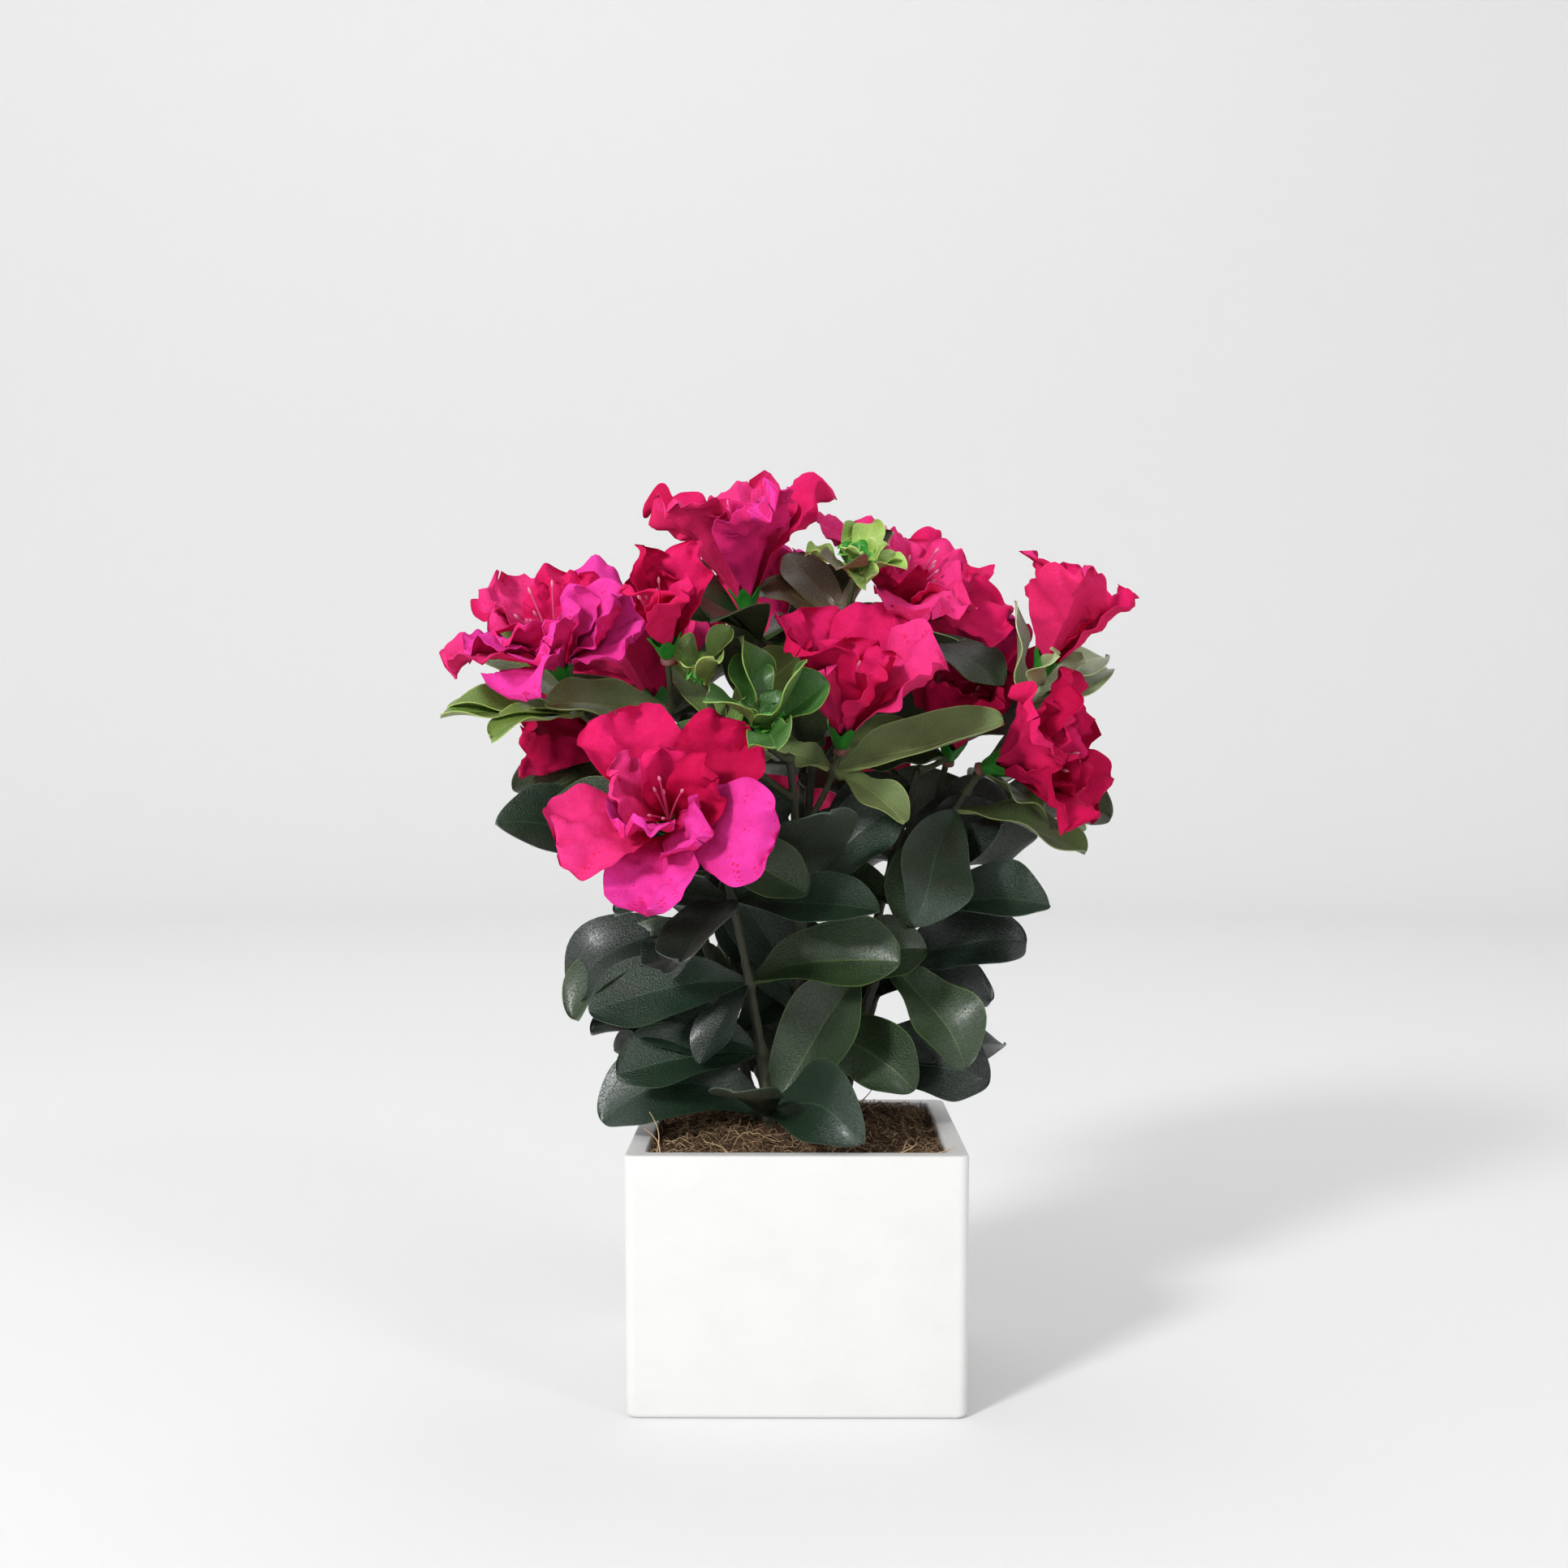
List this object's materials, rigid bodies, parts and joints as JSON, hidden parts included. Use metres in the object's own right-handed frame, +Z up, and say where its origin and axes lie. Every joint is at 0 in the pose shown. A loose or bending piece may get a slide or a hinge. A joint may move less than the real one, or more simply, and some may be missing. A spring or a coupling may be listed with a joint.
{
  "type": "artificial azalea shrub in planter",
  "caption": "Artificial azalea shrub with pink fabric blooms and coated leaves on wired stems, standing in coconut fibre in a square white planter.",
  "frame": {"origin": "middle of the planter's flat underside", "axes": "+Z up, +X to the right and +Y to the back of the planter's front wall"},
  "size_m": [0.2116, 0.1599, 0.2807],
  "materials": {
    "glaze": "satin warm white, faintly mottled",
    "fibre": "matted coconut fibre over a foam block",
    "bark": "olive brown moulded sleeve over wire",
    "leaf": "deep green coated fabric, half glossy",
    "young": "yellow green coated fabric",
    "petal": "hot pink woven fabric, matt"
  },
  "bodies": {
    "root": {"planter": "glaze", "fibre_bed": "fibre", "stem_front_left": "bark", "stem_left": "bark", "stem_front_centre": "bark", "stem_centre": "bark", "stem_right": "bark", "stem_right_back": "bark", "stem_back_left": "bark", "stem_back": "bark", "stem_back_right": "bark", "bloom_left": "petal", "bloom_far_left": "petal", "bud_left": "petal", "bloom_inner_left": "petal", "bloom_front": "petal", "young_front": "young", "young_left": "young", "bloom_centre": "petal", "bloom_top": "petal", "young_top": "young", "bloom_top_right": "petal", "bud_right": "petal", "bloom_right": "petal", "bloom_inner_right": "petal", "bloom_back_left": "petal", "bloom_low_back_left": "petal", "bloom_back": "petal", "bloom_low_back": "petal", "bloom_back_right": "petal", "young_back_right": "young", "young_back": "young", "leaves_front_left_1": "leaf", "leaves_front_left_2": "leaf", "leaves_front_left_3": "leaf", "leaves_front_left_4": "leaf", "leaves_left_1": "leaf", "leaves_left_2": "leaf", "leaves_left_3": "leaf", "leaves_front_centre_1": "leaf", "leaves_front_centre_2": "leaf", "leaves_centre_1": "leaf", "leaves_centre_2": "leaf", "leaves_centre_3": "leaf", "leaves_right_1": "leaf", "leaves_right_2": "leaf", "leaves_right_3": "leaf", "leaves_right_4": "leaf", "leaves_right_back_1": "leaf", "leaves_right_back_2": "leaf", "leaves_back_left_1": "leaf", "leaves_back_left_2": "leaf", "leaves_back_left_3": "leaf", "leaves_back_1": "leaf", "leaves_back_2": "leaf", "leaves_back_right_1": "leaf", "leaves_back_right_2": "leaf", "leaves_back_right_3": "leaf"}
  },
  "joints": []
}
